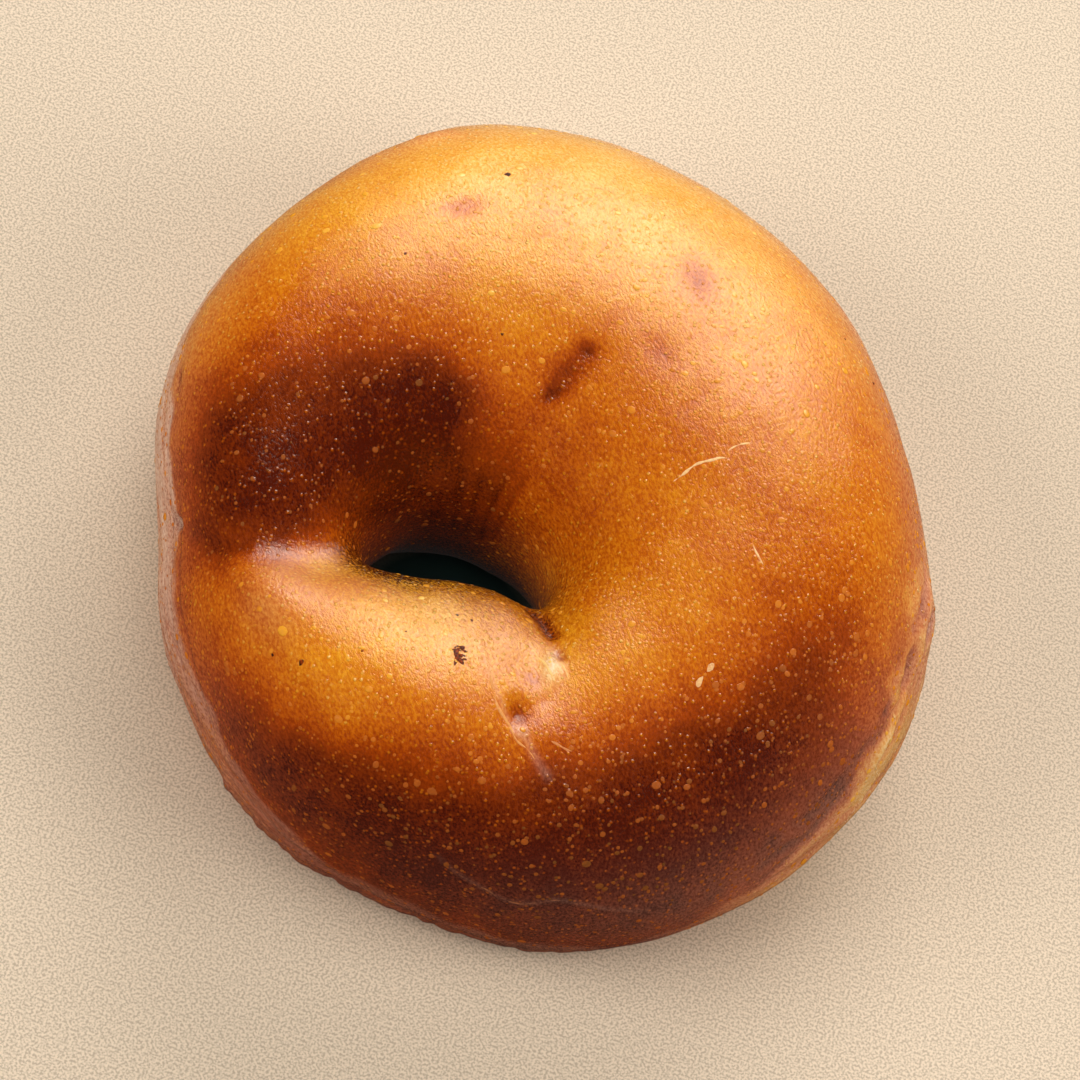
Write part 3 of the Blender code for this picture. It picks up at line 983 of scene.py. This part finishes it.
class BagelColours(bpy.types.PropertyGroup):
    """Colours that a user would change"""

    straw: colour("Straw", "Dough that is hardly baked", (0.80, 0.50, 0.12))
    golden: colour("Golden", "Lightly baked dough", (0.72, 0.31, 0.012))
    amber: colour("Amber", "Evenly baked dough", (0.61, 0.19, 0.005))
    rust: colour("Rust", "Well baked dough", (0.48, 0.098, 0.002))
    umber: colour("Umber", "Darkly baked dough", (0.30, 0.040, 0.001))
    chestnut: colour("Chestnut", "The darkest crust", (0.065, 0.0046, 0.0003))
    # Bloom also carries painted highlights and painted reflections.
    bloom_and_sheen: colour("Bloom", "Dry skin stretched thin", (0.74, 0.53, 0.40))
    # Char also colours the hole's walls as painted shade.
    char: colour("Char", "Burnt spots", (0.035, 0.006, 0.003))
    floor: colour("Floor", "The floor under the bagel", (0.66, 0.545, 0.41))
    # Painted shade: the floor's colour down in the hole.
    shade: colour("Shade", "The floor down in the hole", (0.010, 0.030, 0.028))


# ---------------------------------------------------------------- pieces


def read_crust():
    """The finished crust as a Skin, with how far it is baked at each point."""
    mesh = bpy.data.objects["crust"].data
    flat = np.empty(len(mesh.vertices) * 3, dtype=np.float32)
    mesh.vertices.foreach_get("co", flat)
    baked = np.empty(len(mesh.vertices), dtype=np.float32)
    mesh.attributes["baked"].data.foreach_get("value", baked)
    grid = flat.astype(float).reshape(TURN_LINES, ROWS, 3) / MM
    return Skin(grid), baked.reshape(TURN_LINES, ROWS)


class BAGEL_OT_crust(bpy.types.Operator):
    """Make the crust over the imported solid"""

    bl_idname = "bagel.crust"
    bl_label = "Crust"

    def execute(self, context):
        colours = context.scene.bagel_colours
        make_baked_colour(colours)
        make_crust_grain()
        layers = build_layers(Skin(bare_grid()))
        piece = make_object("crust", raised_grid(layers).reshape(-1, 3), crust_faces(), crust_material(colours))
        add_numbers(piece, "baked", layers.baked)
        add_numbers(piece, "bloom_and_sheen", np.clip(layers.bloom_and_sheen, 0.0, 1.0))
        add_numbers(piece, "char", np.clip(layers.char, 0.0, 1.0))
        add_crust_map(piece)
        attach(piece, BODY)
        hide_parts(NODE)
        return {"FINISHED"}


class BAGEL_OT_blisters(bpy.types.Operator):
    """Scatter blisters over the crust"""

    bl_idname = "bagel.blisters"
    bl_label = "Blisters"

    def execute(self, context):
        sizes = context.scene.bagel_sizes
        skin, baked = read_crust()
        draw = random.Random(BLISTER_SEED)
        pieces, tints = [], []
        chosen = [(turn, share, radius, -0.18) for turn, share, radius in KNOWN_BLISTERS]
        while len(chosen) < sizes.blisters:
            turn, share = draw.uniform(0, 360), draw.uniform(0.10, 0.93)
            crowd = BLISTER_CROWD[0] + sum(
                gain * math.exp(-(angle_gap(turn, at_turn) / reach) ** 2 - ((share - at_share) / over) ** 2)
                for at_turn, at_share, reach, over, gain in BLISTER_CROWD[1])
            room = np.linalg.norm((skin.read(skin.grid, turn, share) - (*hole_axis(), 0.0))[:2]) / 60.0
            if draw.random() < crowd * room:
                luck = draw.random()
                radius = sizes.smallest + sizes.usual * luck + sizes.widest * luck ** 12
                chosen.append((turn, share, radius / MM, draw.uniform(-0.17, -0.02)))
        for turn, share, radius, change in chosen:
            point, onward, out, up = skin.place(turn, share)
            height = radius * draw.uniform(0.12, 0.26)
            made = dome(point, onward, out, up, radius, height, draw.uniform(0.8, 1.35))
            pieces.append(made)
            tints += [float(skin.read(baked[..., None], turn, share)[0]) + change] * len(made[0])
        piece = make_object("blisters", *join(pieces), blister_material(context.scene.bagel_colours))
        add_numbers(piece, "baked", tints)
        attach(piece, BODY)
        return {"FINISHED"}


class BAGEL_OT_folds(bpy.types.Operator):
    """Raise the thin folds of skin along the edges, the seam and the scratches"""

    bl_idname = "bagel.folds"
    bl_label = "Skin folds"

    def execute(self, context):
        skin, baked = read_crust()
        pieces, tints, pales = [], [], []
        for seed, (_name, places, half_width, height, pale) in enumerate(SKIN_FOLDS):
            made = skin_fold(skin, places, half_width, height, seed)
            pieces.append(made)
            middle = places[len(places) // 2]
            tints += [float(skin.read(baked[..., None], *middle)[0]) - 0.08] * len(made[0])
            pales += [pale] * len(made[0])
        piece = make_object("skin_folds", *join(pieces), fold_material(context.scene.bagel_colours))
        add_numbers(piece, "baked", tints)
        add_numbers(piece, "bloom_and_sheen", pales)
        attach(piece, BODY)
        return {"FINISHED"}


class BAGEL_OT_flecks(bpy.types.Operator):
    """Set the burnt flecks into the crust"""

    bl_idname = "bagel.flecks"
    bl_label = "Burnt flecks"

    def execute(self, context):
        skin, _baked = read_crust()
        draw = random.Random(FLECK_SEED)
        pieces = []
        for turn, share, radius in FLECKS:
            pieces.append(fleck(draw, *skin.place(turn, share), radius, draw.uniform(1.0, 1.5)))
        turn, share, reach = BURNT_CLUSTER
        for _ in range(BURNT_BITS):
            angle, far = draw.uniform(0, 2 * math.pi), reach * math.sqrt(draw.random())
            bit_turn = turn + far * math.cos(angle) * 1.8
            bit_share = share + far * math.sin(angle) * 0.014
            pieces.append(fleck(draw, *skin.place(bit_turn, bit_share), draw.uniform(0.16, 0.34), draw.uniform(1.2, 2.4)))
        piece = make_object("burnt_flecks", *join(pieces), fleck_material(context.scene.bagel_colours))
        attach(piece, BODY)
        return {"FINISHED"}


# ---------------------------------------------------------------- stage


def add_light(name, place, width, height, energy, tint, in_gloss):
    """A soft panel light, turned to the bagel."""
    light = bpy.data.lights.new(name, "AREA")
    light.shape = "RECTANGLE"
    light.size = width
    light.size_y = height
    light.energy = energy
    light.color = tint
    thing = bpy.data.objects.new(name, light)
    bpy.context.scene.collection.objects.link(thing)
    thing.location = place
    thing.visible_glossy = in_gloss
    thing.rotation_euler = (Vector((0.0, 0.0, 0.02)) - Vector(place)).to_track_quat("-Z", "Y").to_euler()


def add_camera():
    """A long lens above the front, turned a little about its own line of sight."""
    low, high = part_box(NODE)
    target = (low + high) / 2 + Vector(CAMERA_AIM) * MM
    elevation, roll = math.radians(CAMERA_ELEVATION), math.radians(CAMERA_ROLL)
    ahead = Vector((0.0, math.cos(elevation), -math.sin(elevation)))
    upright = Vector((0.0, math.sin(elevation), math.cos(elevation)))
    right = Vector((1.0, 0.0, 0.0))
    side = right * math.cos(roll) + upright * math.sin(roll)
    top = upright * math.cos(roll) - right * math.sin(roll)
    camera = bpy.data.cameras.new("Camera")
    camera.sensor_width = 36.0
    camera.lens = camera.sensor_width * CAMERA_DISTANCE / CAMERA_VIEW_WIDTH
    thing = bpy.data.objects.new("Camera", camera)
    bpy.context.scene.collection.objects.link(thing)
    turned = Matrix((side, top, -ahead)).transposed().to_4x4()
    thing.matrix_world = Matrix.Translation(target - ahead * CAMERA_DISTANCE * MM) @ turned
    bpy.context.scene.camera = thing


class BAGEL_OT_stage(bpy.types.Operator):
    """Set up the floor, the lights, the world and the camera"""

    bl_idname = "bagel.stage"
    bl_label = "Stage"

    def execute(self, context):
        scene = context.scene
        scene.view_settings.view_transform = "Standard"
        world = bpy.data.worlds.new("Studio")
        scene.world = world
        world.use_nodes = True
        back = world.node_tree.nodes["Background"]
        back.inputs["Color"].default_value = WORLD_TINT
        back.inputs["Strength"].default_value = WORLD_STRENGTH
        for light in LIGHTS:
            add_light(*light)
        half = FLOOR_SIZE / 2
        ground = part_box(NODE)[0].z / MM
        corners = [(-half, -half, ground), (half, -half, ground), (half, half, ground), (-half, half, ground)]
        floor = make_object("floor", corners, [(0, 1, 2, 3)], floor_material(scene.bagel_colours))
        floor.visible_glossy = False
        add_camera()
        return {"FINISHED"}


class BAGEL_PT_panel(bpy.types.Panel):
    """The steps that build the bagel, with their sizes and colours"""

    bl_idname = "BAGEL_PT_panel"
    bl_label = "Plain Bagel"
    bl_space_type = "VIEW_3D"
    bl_region_type = "UI"
    bl_category = "Bagel"

    def draw(self, context):
        for operator in OPERATORS:
            self.layout.operator(operator.bl_idname)
        for settings in (context.scene.bagel_sizes, context.scene.bagel_colours):
            for name in settings.__annotations__:
                self.layout.prop(settings, name)


OPERATORS = (BAGEL_OT_crust, BAGEL_OT_blisters, BAGEL_OT_folds, BAGEL_OT_flecks, BAGEL_OT_stage)
CLASSES = (BagelSizes, BagelColours, *OPERATORS, BAGEL_PT_panel)


def register():
    for item in CLASSES:
        bpy.utils.register_class(item)
    bpy.types.Scene.bagel_sizes = PointerProperty(type=BagelSizes)
    bpy.types.Scene.bagel_colours = PointerProperty(type=BagelColours)


def unregister():
    del bpy.types.Scene.bagel_colours
    del bpy.types.Scene.bagel_sizes
    for item in reversed(CLASSES):
        bpy.utils.unregister_class(item)


def main():
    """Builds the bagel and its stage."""
    register()
    bpy.ops.bagel.crust()
    bpy.ops.bagel.blisters()
    bpy.ops.bagel.folds()
    bpy.ops.bagel.flecks()
    bpy.ops.bagel.stage()


if __name__ == "__main__":
    main()
